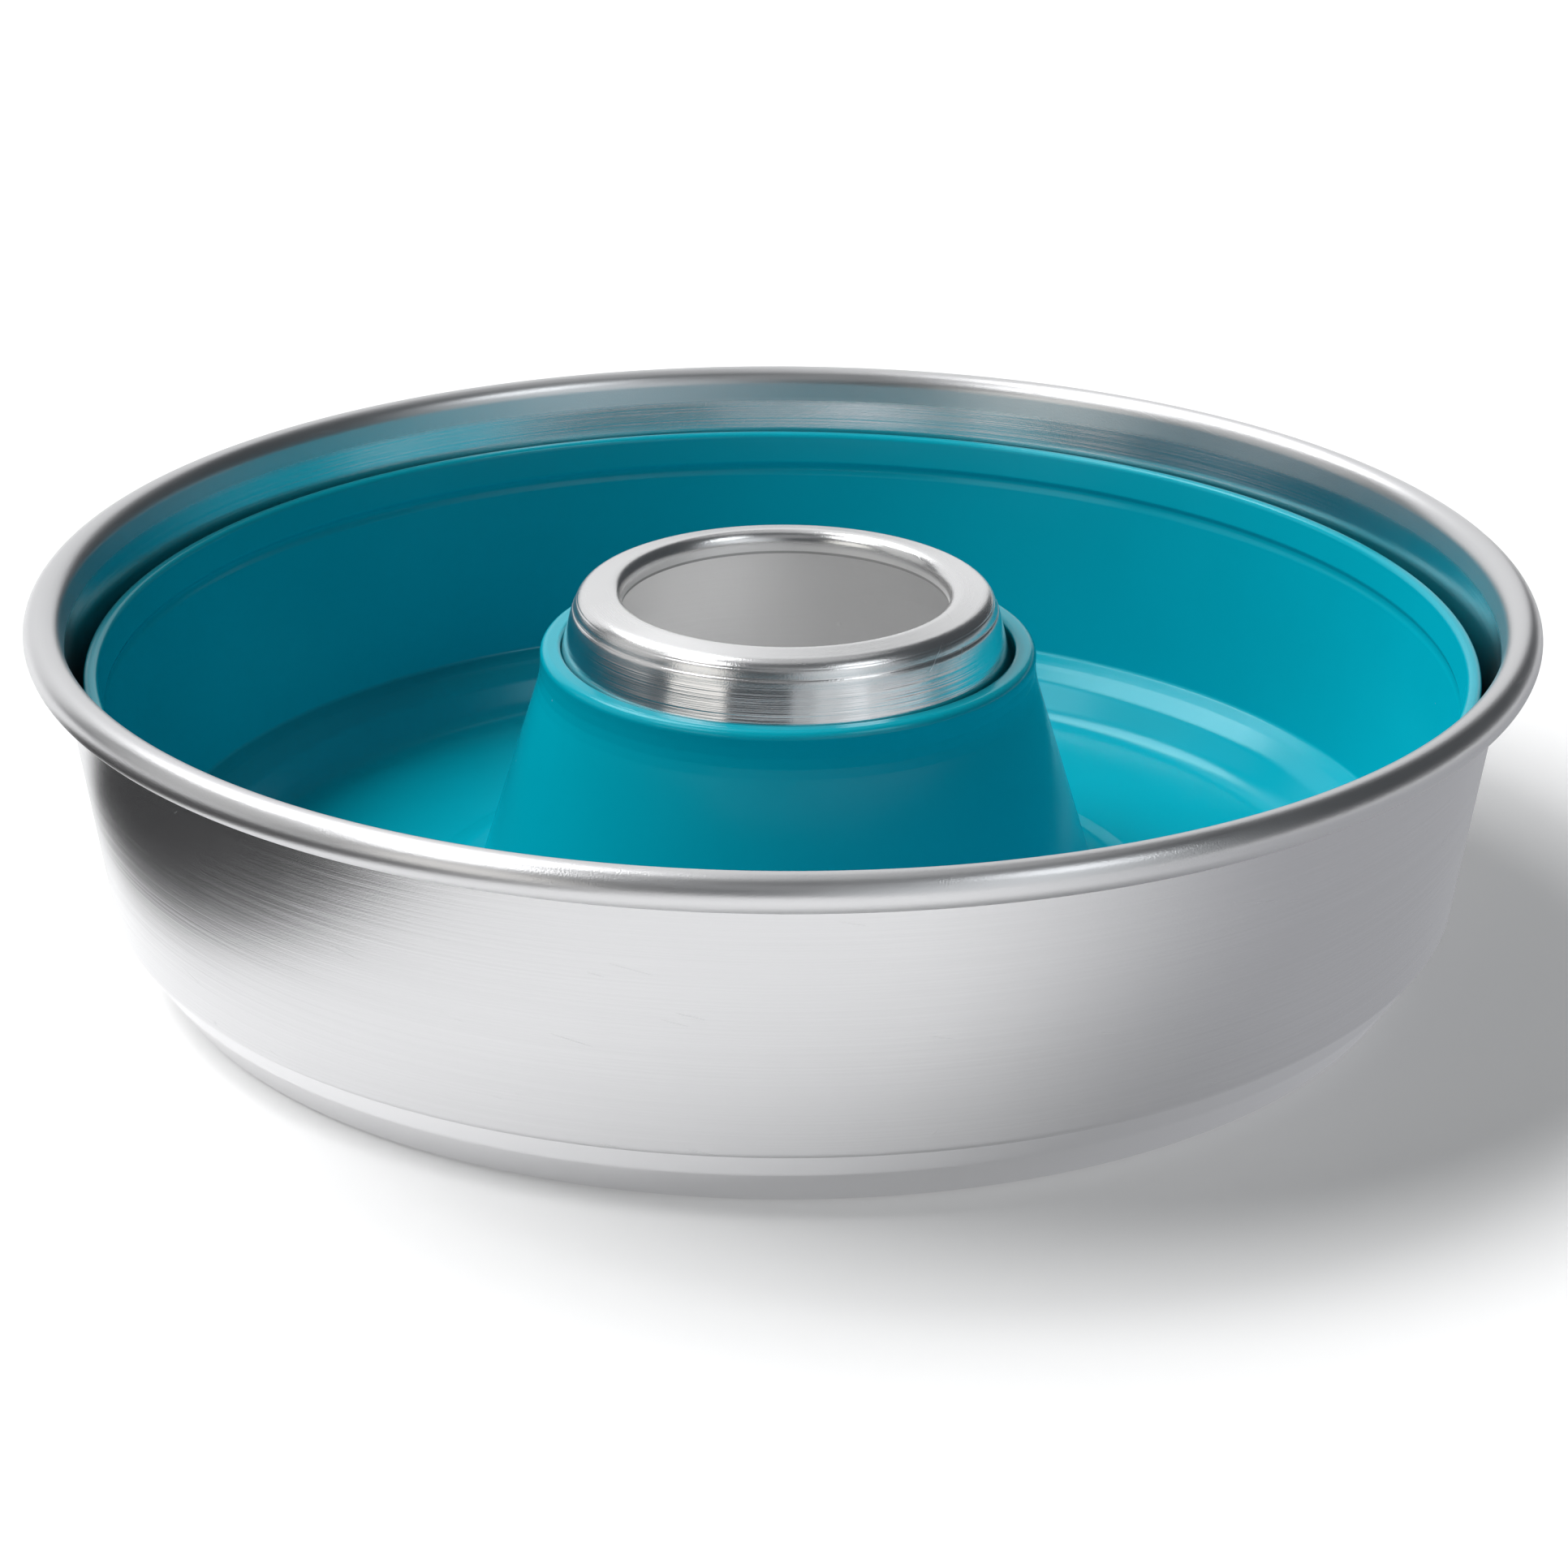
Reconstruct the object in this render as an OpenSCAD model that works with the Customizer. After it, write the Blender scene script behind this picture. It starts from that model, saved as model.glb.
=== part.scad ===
// Angel food cake pan: a drawn aluminium ring tin with a rolled rim, a tapered
// centre tube clinched into its floor, and a loose silicone liner.
// Millimetres, +Z up. The origin is the centre of the face that the pan rests on.
// Each piece is a sheet turned about the Z axis. Its section is a line of corners
// [radius, height, bend radius] through the middle of the sheet.

/* [Pan] */
// Diameter across the outside of the rolled rim
rim_d = 260; // [215:1:320]
// Height from the resting face to the top of the rim
pan_h = 63; // [50:0.5:80]
// Thickness of the pan's sheet
pan_sheet = 1; // [0.8:0.05:1.2]
// Thickness across the rolled rim bead
bead_d = 6.3; // [5.2:0.1:8]
// Angle that the sheet turns through in the bead
bead_turn = 302; // [250:2:306]
// Lean of the wall from the vertical, in degrees
wall_lean = 8.3; // [5:0.1:11]
// Height of the wall's lower corner
corner_h = 11.7; // [9.7:0.1:14.1]
// Width of the step under the wall's lower corner
step_w = 2.7; // [2.2:0.1:3.6]
// Height of the band below the step
band_h = 4.5; // [3.7:0.1:5.4]
// Lean of the edge below the band, in degrees
edge_lean = 33.5; // [25:0.5:41]
// Bend radius of the edge where it meets the floor
floor_bend = 2; // [1.2:0.1:3]

/* [Tube] */
// Diameter of the hole inside the turned-down lip
hole_d = 57; // [47:0.5:70]
// Thickness of the tube's sheet
tube_sheet = 1; // [0.8:0.05:1.2]
// Width of the tube's top face, from the hole out to the shoulder
face_w = 7.15; // [5.9:0.05:9]
// Depth of the shoulder below the top of the rim
shoulder_drop = 2.5; // [1:0.1:8]
// Slope of the top face, in degrees, rising towards the hole
face_slope = 9.5; // [0:0.5:12]
// Height of the lip that turns down into the hole
lip_h = 3.8; // [3:0.1:5]
// Lean of the tube's side from the vertical, in degrees
tube_lean = 14.5; // [10:0.5:18]
// Distance from the shoulder to the small step below it
shoulder_h = 2.2; // [1.8:0.1:4]
// Width of the small step below the shoulder
shoulder_step = 0.25; // [0.1:0.05:0.5]
// Width of the bead that clinches the tube on top of the floor
clinch_w = 2.7; // [2.2:0.05:3.3]
// Width of the tube's foot flange under the floor
flange_w = 6.8; // [4:0.2:8.4]

/* [Seat] */
// Rise of the pan's floor around the tube
seat_lift = 1.5; // [1.2:0.1:2.5]
// How far that raised seat runs past the tube's flange
seat_over = 1.8; // [1.2:0.1:4]
// Width of the slope between the seat and the floor
seat_slope_w = 3.5; // [2.9:0.1:5]
// Clearance between the clinched tube and the floor's hole
hole_gap = 0.3; // [0.25:0.01:0.5]
// Clearance between the clinch bead and the floor
clinch_gap = 0.05; // [0.02:0.01:0.1]

/* [Liner] */
// Thickness of the liner's wall and floor
liner_t = 2.1; // [1.7:0.1:2.6]
// Depth of the liner's rim below the top of the pan's rim
liner_drop = 11; // [8:0.5:15]
// Gap between the liner's rim and the pan's wall
wall_gap = 2.1; // [1.6:0.1:3]
// Gap between the liner's lower corner and the pan's band
foot_gap = 0.37; // [0.3:0.01:2]
// Height of the band along the liner's rim
rim_band_h = 6.5; // [4:0.5:12]
// How far that band stands in from the wall
rim_band_w = 0.4; // [0.2:0.05:0.8]
// Height of the liner's ledge above its resting face
ledge_h = 10.75; // [8.75:0.25:13]
// Width of the ledge
ledge_w = 6.5; // [5:0.1:8]
// Fall of the ledge from the wall inwards
ledge_fall = 3.55; // [2:0.05:4.5]
// Width of the slope from the ledge to the liner's floor
slope_w = 5.1; // [4:0.1:7]
// How much more the liner's cone leans than the tube, in degrees
cone_flare = 2.6; // [0.5:0.1:5]
// Gap between the cone's lip and the tube
cone_gap = 0.55; // [0.45:0.05:1.2]
// Depth of the cone's lip below the top of the pan's rim
cone_drop = 11.4; // [9:0.1:15]
// Thickness of the cone's lip
cone_lip_t = 3.9; // [3:0.1:4.7]
// Gap between the liner and the raised seat
seat_gap = 0.3; // [0.25:0.05:1]
// How far the liner's raised collar runs past the pan's seat
collar_over = 2.5; // [1.5:0.1:4]

/* [Hidden] */
$fn = 96;
// Angle covered by each flat of a round bend
flat_angle = 14;

// Unit vector along v
function unit(v) = v / norm(v);

// The corner's place, without its bend radius
function place(corner) = [corner.x, corner.y];

// The same corners, each moved d to the left of the path's direction
function beside(path, d) = [
    for (i = [0:len(path) - 1])
        let (
            here = place(path[i]),
            last = len(path) - 1,
            leave = unit(i < last ? place(path[i + 1]) - here : here - place(path[i - 1])),
            arrive = i > 0 ? unit(here - place(path[i - 1])) : leave,
            left_a = [-arrive.y, arrive.x],
            left_b = [-leave.y, leave.x],
            moved = here + d * (left_a + left_b) / (1 + left_a * left_b),
            bend = path[i].z - d * sign(cross(arrive, leave))
        )
        [moved.x, moved.y, path[i].z == 0 ? 0 : max(bend, 0)]
];

// Points along the round bend of radius r at corner p, between a and b
function bend_points(a, p, b, r) =
    let (
        u = unit(a - p),
        v = unit(b - p),
        half = acos(u * v) / 2,
        centre = p + unit(u + v) * r / sin(half),
        first = p + u * r / tan(half) - centre,
        final = p + v * r / tan(half) - centre,
        start = atan2(first.y, first.x),
        sweep = atan2(cross(first, final), first * final),
        flats = ceil(abs(sweep) / flat_angle)
    )
    [for (k = [0:flats]) centre + r * [cos(start + sweep * k / flats), sin(start + sweep * k / flats)]];

// A closed outline with its corners rounded
function rounded(corners) = [
    for (i = [0:len(corners) - 1])
        let (
            n = len(corners),
            p = place(corners[i]),
            a = place(corners[(i + n - 1) % n]),
            b = place(corners[(i + 1) % n])
        )
        each corners[i].z == 0 ? [p] : bend_points(a, p, b, corners[i].z)
];

function reversed(list) = [for (i = [len(list) - 1:-1:0]) list[i]];

function without_ends(list) = [for (i = [1:len(list) - 2]) list[i]];

// The outline of a sheet of thickness t with its middle on the path
function sheet(path, t) = rounded(concat(beside(path, t / 2), reversed(beside(path, -t / 2))));

// Middle of the rim bead, and of the sheet rolled round it
bead_centre = [rim_d / 2 - bead_d / 2, pan_h - bead_d / 2];
bead_mid_r = (bead_d - pan_sheet) / 2;
wall_top = bead_centre + bead_mid_r * [-cos(wall_lean), sin(wall_lean)];

// Radius of the pan's wall at height z, at the middle of its sheet
function wall_r(z) = wall_top.x - (wall_top.y - z) * tan(wall_lean);

// Radius of the tube's side at height z, at the middle of its sheet
shoulder_d = hole_d + 2 * face_w;
shoulder_z = pan_h - shoulder_drop;
function tube_r(z) = shoulder_d / 2 + shoulder_step + (shoulder_z - z) * tan(tube_lean);

// Heights of the seat and of the clinched tube, at the middle of their sheets
seat_z = seat_lift + pan_sheet / 2;
flange_z = seat_lift - tube_sheet / 2;
clinch_z = seat_lift + pan_sheet + clinch_gap + tube_sheet / 2;
clinch_h = clinch_w + 0.3;
neck_r = tube_r(clinch_z + clinch_h);
seat_hole_r = neck_r + tube_sheet / 2 + hole_gap;
seat_end_r = neck_r + flange_w + seat_over;

// The pan's section, from the seat out to the wall and round the bead
band_r = wall_r(corner_h) - step_w;
band_foot_r = band_r - band_h * tan(wall_lean);
edge_rise = corner_h - band_h - pan_sheet / 2;
bead_flats = ceil(bead_turn / flat_angle);
pan_path = concat(
    [
        [seat_hole_r, seat_z, 0],
        [seat_end_r, seat_z, 1.5],
        [seat_end_r + seat_slope_w, pan_sheet / 2, 1.5],
        [band_foot_r - edge_rise * tan(edge_lean), pan_sheet / 2, floor_bend],
        [band_foot_r, corner_h - band_h, 1.2],
        [band_r, corner_h, 0.9],
        [wall_r(corner_h), corner_h, 1.1]
    ],
    [
        for (k = [0:bead_flats])
            let (angle = 180 - wall_lean - bead_turn * k / bead_flats)
            [bead_centre.x + bead_mid_r * cos(angle), bead_centre.y + bead_mid_r * sin(angle), 0]
    ]
);

// The tube's section, from the lip's edge over the face and down to the flange
lip_r = (hole_d + tube_sheet) / 2;
face_in_z = shoulder_z + (shoulder_d / 2 - lip_r) * tan(face_slope);
step_z = shoulder_z - shoulder_h;
step_top_r = tube_r(step_z) - shoulder_step;
step_h = 0.6;
clinch_bend = min(0.7, 0.26 * clinch_w);
tube_path = [
    [lip_r, face_in_z - lip_h, 0],
    [lip_r, face_in_z, 1.6],
    [shoulder_d / 2, shoulder_z, 1.2 * shoulder_h],
    [step_top_r, step_z, 0.7],
    [tube_r(step_z - step_h), step_z - step_h, 0.7],
    [neck_r, clinch_z + clinch_h, 1.2],
    [neck_r + clinch_w, clinch_z, clinch_bend],
    [neck_r, clinch_z, 0.75],
    [neck_r, flange_z, 0.75],
    [neck_r + flange_w, flange_z, 0]
];

// Liner: radius of its cone at the middle of its sheet, at height z
cone_lean = tube_lean + cone_flare;
cone_lip_z = pan_h - cone_drop;
cone_lip_r = tube_r(cone_lip_z) + tube_sheet / 2 / cos(tube_lean) + cone_gap;
cone_half = liner_t / 2 / cos(cone_lean);
function cone_r(z) = cone_lip_r + cone_half + (cone_lip_z - z) * tan(cone_lean);

// Radii of the liner's outer face at its rim and its lower corner, and at the
// middle of its sheet at height z
liner_rim_z = pan_h - liner_drop;
ledge_z = pan_sheet + ledge_h;
pan_half = pan_sheet / 2 / cos(wall_lean);
liner_rim_r = wall_r(liner_rim_z) - pan_half - wall_gap;
liner_foot_r = band_r - max(corner_h - ledge_z, 0) * tan(wall_lean) - pan_half - foot_gap;
liner_lean = atan((liner_rim_r - liner_foot_r) / (liner_rim_z - ledge_z));
wall_half = liner_t / 2 / cos(liner_lean);
function liner_wall_r(z) = liner_rim_r - wall_half - (liner_rim_z - z) * tan(liner_lean);

// Heights of the liner's floor, at the middle of its sheet
liner_floor_z = pan_sheet + liner_t / 2;
liner_seat_z = seat_lift + pan_sheet + seat_gap + liner_t / 2;
ledge_r = liner_wall_r(ledge_z);
collar_r = seat_end_r + collar_over;
collar_slope_w = seat_slope_w + 2;
collar_bend = min(4, collar_r - cone_r(liner_seat_z));
liner_path = [
    [cone_r(cone_lip_z), cone_lip_z, 0],
    [cone_r(liner_seat_z), liner_seat_z, collar_bend],
    [collar_r, liner_seat_z, collar_bend],
    [collar_r + collar_slope_w, liner_floor_z, 4],
    [ledge_r - ledge_w - slope_w, liner_floor_z, 8],
    [ledge_r - ledge_w, ledge_z - ledge_fall, 3.5],
    [ledge_r, ledge_z, 2],
    [liner_wall_r(liner_rim_z), liner_rim_z, 0]
];

// The liner's thick cone lip and rim band, which end its sheet
cone_lip_h = (cone_lip_t - 2 * cone_half) / tan(cone_lean);
cone_lip_bend = 0.4 * cone_lip_t;
cone_lip_side = [
    [cone_lip_r, cone_lip_z, cone_lip_bend],
    [cone_lip_r + cone_lip_t, cone_lip_z, cone_lip_bend],
    [cone_lip_r + cone_lip_t, cone_lip_z - cone_lip_h, 3]
];
rim_band_z = liner_rim_z - rim_band_h;
rim_step_h = 0.8;
rim_t = 2 * wall_half + rim_band_w;
rim_in_r = liner_rim_r - rim_t;
rim_bend = 0.43 * rim_t;
rim_band_side = [
    [liner_wall_r(rim_band_z) - wall_half, rim_band_z, 0.8],
    [rim_in_r - (rim_band_h - rim_step_h) * tan(liner_lean), rim_band_z + rim_step_h, 0.8],
    [rim_in_r, liner_rim_z, rim_bend],
    [liner_rim_r, liner_rim_z, rim_bend]
];

module pan_body() {
    color([0.78, 0.78, 0.79])
        rotate_extrude()
            polygon(sheet(pan_path, pan_sheet));
}

module centre_tube() {
    color([0.86, 0.86, 0.87])
        rotate_extrude()
            polygon(sheet(tube_path, tube_sheet));
}

module silicone_liner() {
    color([0.0, 0.55, 0.63])
        rotate_extrude()
            polygon(rounded(concat(
                cone_lip_side,
                without_ends(beside(liner_path, liner_t / 2)),
                rim_band_side,
                reversed(without_ends(beside(liner_path, -liner_t / 2)))
            )));
}

pan_body();
centre_tube();
silicone_liner();
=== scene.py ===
"""A ring tin for angel food cake: a spun aluminium pan with a rolled rim, a centre
tube clinched into its floor, and a loose silicone liner. Lengths are in metres, with
+Z up and the origin in the middle of the face that the pan rests on."""
import math

import bpy
import numpy as np
from mathutils import Matrix, Vector


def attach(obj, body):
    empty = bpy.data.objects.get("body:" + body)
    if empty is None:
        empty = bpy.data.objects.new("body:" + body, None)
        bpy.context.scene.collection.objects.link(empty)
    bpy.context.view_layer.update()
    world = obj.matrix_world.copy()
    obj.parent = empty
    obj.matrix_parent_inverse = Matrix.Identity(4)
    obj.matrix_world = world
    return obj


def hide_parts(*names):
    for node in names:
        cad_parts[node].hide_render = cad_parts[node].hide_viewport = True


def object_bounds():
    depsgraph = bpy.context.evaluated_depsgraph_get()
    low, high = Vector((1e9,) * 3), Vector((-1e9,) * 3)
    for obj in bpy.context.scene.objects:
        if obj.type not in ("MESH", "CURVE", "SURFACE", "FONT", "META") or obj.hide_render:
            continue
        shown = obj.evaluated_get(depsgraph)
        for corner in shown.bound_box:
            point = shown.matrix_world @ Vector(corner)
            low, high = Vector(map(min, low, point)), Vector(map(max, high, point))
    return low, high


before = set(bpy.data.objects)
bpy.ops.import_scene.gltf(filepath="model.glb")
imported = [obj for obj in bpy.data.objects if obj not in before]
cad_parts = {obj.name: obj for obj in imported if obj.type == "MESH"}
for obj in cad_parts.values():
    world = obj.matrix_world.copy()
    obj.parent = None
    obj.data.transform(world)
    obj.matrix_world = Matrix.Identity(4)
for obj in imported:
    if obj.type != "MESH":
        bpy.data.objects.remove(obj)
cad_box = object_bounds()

bl_info = {
    "name": "Angel Food Cake Pan",
    "version": (1, 0, 0),
    "blender": (4, 5, 0),
    "location": "View3D > Sidebar > Cake Pan",
    "description": "Builds a spun aluminium ring tin with a centre tube and a silicone liner",
    "category": "Object",
}

MM = 0.001
ROUND_STEPS = 288
BEND_STEP = math.radians(6)
CURL_STEP = math.radians(5)
SHARP_EDGE = math.radians(35)
# How far it is round each piece, for laying out its scratches
PAN_ROUND_MM = 800.0
TUBE_ROUND_MM = 260.0
# The liner's wall lies outside this radius and its cone inside
OUTER_LINER_R = 80 * MM
# The floor's half width, the flags' width, and how far they lie from the resting face
FLOOR_REACH = 15.0
FLAG_REACH = 0.5
FLOOR_DROP = 0.02 * MM
FLAG_RISE = 0.05 * MM
# The flags fade in between these radii, outside the pan's foot
FLAG_START_R = 105 * MM
FLAG_FULL_R = 112 * MM
# Tints of the lamps
COOL = (0.95, 0.98, 1.0)
WARM = (1.0, 0.97, 0.92)
FAINTLY_WARM = (1.0, 0.99, 0.97)


# Settings

def length(name, description, mm):
    return bpy.props.FloatProperty(
        name=name, description=description, default=mm * MM, unit="LENGTH", precision=5)


def angle(name, description, degrees):
    return bpy.props.FloatProperty(
        name=name, description=description, default=math.radians(degrees), subtype="ANGLE")


def amount(name, description, value, high=1.0):
    return bpy.props.FloatProperty(
        name=name, description=description, default=value, min=0.0, max=high, subtype="FACTOR")


def colour(name, description, rgb):
    return bpy.props.FloatVectorProperty(
        name=name, description=description, default=rgb, size=3, min=0.0, max=1.0,
        subtype="COLOR")


class PanSizes(bpy.types.PropertyGroup):
    """Sizes of the spun pan."""
    rim_d: length("Rim diameter", "Across the outside of the rolled rim",
                  (cad_box[1].x - cad_box[0].x) / MM)
    height: length("Height", "From the resting face to the top of the rim",
                   (cad_box[1].z - cad_box[0].z) / MM)
    sheet: length("Sheet", "Thickness of the pan's sheet", 1)
    bead_d: length("Bead", "Thickness across the rolled rim", 6.3)
    bead_turn: angle("Bead turn", "Angle that the sheet turns through in the bead", 302)
    wall_lean: angle("Wall lean", "Lean of the wall from the vertical", 8.3)
    corner_h: length("Corner height", "Height of the wall's lower corner", 11.7)
    step_w: length("Step", "Width of the step under the lower corner", 2.7)
    band_h: length("Band", "Height of the band below the step", 4.5)
    edge_lean: angle("Edge lean", "Lean of the edge below the band", 33.5)
    floor_bend: length("Floor bend", "Bend radius where the edge meets the floor", 2)
    seat_lift: length("Seat lift", "Rise of the floor around the tube", 1.5)
    seat_over: length("Seat overhang", "How far that seat runs past the tube's flange", 1.8)
    seat_slope_w: length("Seat slope", "Width of the slope from the seat to the floor", 3.5)


class TubeSizes(bpy.types.PropertyGroup):
    """Sizes of the centre tube."""
    hole_d: length("Hole", "Diameter inside the turned-down lip", 57)
    sheet: length("Sheet", "Thickness of the tube's sheet", 1)
    face_w: length("Face", "Width of the top face", 7.15)
    shoulder_drop: length("Shoulder drop", "Depth of the shoulder below the pan's rim", 2.5)
    face_slope: angle("Face slope", "Slope of the top face, rising towards the hole", 9.5)
    lip_h: length("Lip", "Height of the lip that turns down into the hole", 3.8)
    lean: angle("Lean", "Lean of the tube's side from the vertical", 14.5)
    shoulder_h: length("Shoulder", "From the shoulder to the small step below it", 2.2)
    shoulder_step: length("Shoulder step", "Width of that small step", 0.25)
    clinch_w: length("Clinch bead", "Width of the bead above the floor", 2.7)
    flange_w: length("Flange", "Width of the foot flange under the floor", 6.8)
    hole_gap: length("Hole gap", "Clearance between the tube and the floor's hole", 0.3)
    clinch_gap: length("Clinch gap", "Clearance between the clinch bead and the floor", 0.05)
    off_true: length("Off true", "How far the tube's top sits off the pan's middle", 0.45)


class LinerSizes(bpy.types.PropertyGroup):
    """Sizes of the silicone liner."""
    thickness: length("Thickness", "Thickness of its wall and floor", 2.1)
    drop: length("Drop", "Depth of its rim below the pan's rim", 11)
    wall_gap: length("Wall gap", "Gap between its rim and the pan's wall", 2.1)
    foot_gap: length("Foot gap", "Gap between its lower corner and the pan's band", 0.37)
    rim_band_h: length("Rim band height", "Height of the band along its rim", 6.5)
    rim_band_w: length("Rim band width", "How far that band stands in", 0.4)
    ledge_h: length("Ledge height", "Height of its ledge", 10.75)
    ledge_w: length("Ledge width", "Width of its ledge", 6.5)
    ledge_fall: length("Ledge fall", "Fall of the ledge from the wall inwards", 3.55)
    ledge_crown: length("Ledge crown", "How far the ledge's middle stands up", 0.42)
    slope_w: length("Slope", "Width of the slope from the ledge to the floor", 5.1)
    cone_flare: angle("Cone flare", "How much more the cone leans than the tube", 2.6)
    cone_gap: length("Cone gap", "Gap between the cone's lip and the tube", 0.55)
    cone_drop: length("Cone drop", "Depth of the cone's lip below the pan's rim", 11.4)
    cone_lip_t: length("Cone lip", "Thickness of the cone's lip", 3.9)
    seat_gap: length("Seat gap", "Gap between the liner and the raised seat", 0.3)
    collar_over: length("Collar", "How far its collar runs past the seat", 2.5)
    cone_shift: length("Cone shift", "How far the cone sits off the pan's middle", 0.85)
    slack: length("Slack", "How far the soft lips wander from a true circle", 0.16)


class Finishes(bpy.types.PropertyGroup):
    """Colours and gloss of the materials."""
    pan: colour("Pan", "Colour of the pan's aluminium", (0.725, 0.725, 0.735))
    tube: colour("Tube", "Colour of the tube's aluminium", (0.84, 0.84, 0.845))
    silicone: colour("Silicone", "Colour of the liner", (0.0, 0.40, 0.51))
    pan_roughness: amount("Pan roughness", "Roughness of the pan's satin wall", 0.23)
    bead_roughness: amount("Bead roughness", "Roughness of the rolled rim", 0.34)
    tube_roughness: amount("Tube roughness", "Roughness of the tube's side", 0.16)
    silicone_roughness: amount("Silicone roughness", "Roughness of the liner", 0.20)


class Studio(bpy.types.PropertyGroup):
    """The floor, the lamps and the camera."""
    floor: colour("Floor", "Colour of the floor", (0.93, 0.93, 0.93))
    lift: amount("Lift", "How much the floor is brightened where it is only looked at", 0.14)
    world: amount("World", "Brightness of the room around the lamps", 0.07)
    key: amount("Key lamp", "Brightness of the softbox at the back left", 6.5, 20.0)
    side_key: amount("Side key", "Brightness of the softbox at the left, not seen in the metal",
                     8.0, 20.0)
    focal_px: bpy.props.FloatProperty(
        name="Focal length", description="Focal length in pixels of the photograph",
        default=5200.0)
    photo_px: bpy.props.FloatProperty(
        name="Photograph", description="Width of the photograph in pixels", default=1932.0)
    camera_back: length("Camera distance", "From the pan's middle to the camera, level", 688.38)
    camera_up: length("Camera height", "Height of the camera above the floor", 308.55)
    camera_tilt: angle("Camera tilt", "How far the camera looks down", 22.4079)
    camera_roll: angle("Camera roll", "Turn of the camera about its view", 0.311)
    camera_yaw: angle("Camera yaw", "Turn of the camera about the vertical", 0.0267)


# Sections

def unit(v):
    return v / np.linalg.norm(v)


def cross(a, b):
    return a[0] * b[1] - a[1] * b[0]


def beside(path, d):
    """The corners of path, each moved d to the left, with its bend to match."""
    moved = []
    for i, corner in enumerate(path):
        here = np.array(corner[:2])
        after = np.array(path[min(i + 1, len(path) - 1)][:2])
        before = np.array(path[max(i - 1, 0)][:2])
        leave = unit(after - here) if i < len(path) - 1 else unit(here - before)
        arrive = unit(here - before) if i else leave
        left = np.array([-arrive[1] - leave[1], arrive[0] + leave[0]])
        place = here + d * left / (1 + arrive @ leave)
        bend = corner[2] - d * np.sign(cross(arrive, leave))
        moved.append((place[0], place[1], max(bend, 0) if corner[2] else 0))
    return moved


def rounded(corners):
    """A closed outline of points, with a round bend at each corner that has a radius."""
    outline = []
    for i, (r, z, bend) in enumerate(corners):
        p = np.array([r, z])
        if not bend:
            outline.append(p)
            continue
        u = unit(np.array(corners[i - 1][:2]) - p)
        v = unit(np.array(corners[(i + 1) % len(corners)][:2]) - p)
        half = math.acos(u @ v) / 2
        centre = p + unit(u + v) * bend / math.sin(half)
        first = p + u * bend / math.tan(half) - centre
        final = p + v * bend / math.tan(half) - centre
        start = math.atan2(first[1], first[0])
        sweep = math.atan2(cross(first, final), first @ final)
        steps = max(2, math.ceil(abs(sweep) / BEND_STEP))
        for k in range(steps + 1):
            turn = start + sweep * k / steps
            outline.append(centre + bend * np.array([math.cos(turn), math.sin(turn)]))
    return outline


def sheet_outline(path, thickness):
    return rounded(beside(path, thickness / 2) + beside(path, -thickness / 2)[::-1])


def with_close_points(outline):
    """The same outline with more points on its long straight runs, close at both ends."""
    points = []
    for i, a in enumerate(outline):
        b = outline[(i + 1) % len(outline)]
        span = np.linalg.norm(b - a)
        points.append(a)
        if span > 0.9 * MM:
            edge = 0.2 * MM / span
            inner = max(1, math.ceil(span / (3 * MM)))
            for t in np.linspace(edge, 1 - edge, inner + 1):
                points.append(a + (b - a) * t)
    return np.array(points)


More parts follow.
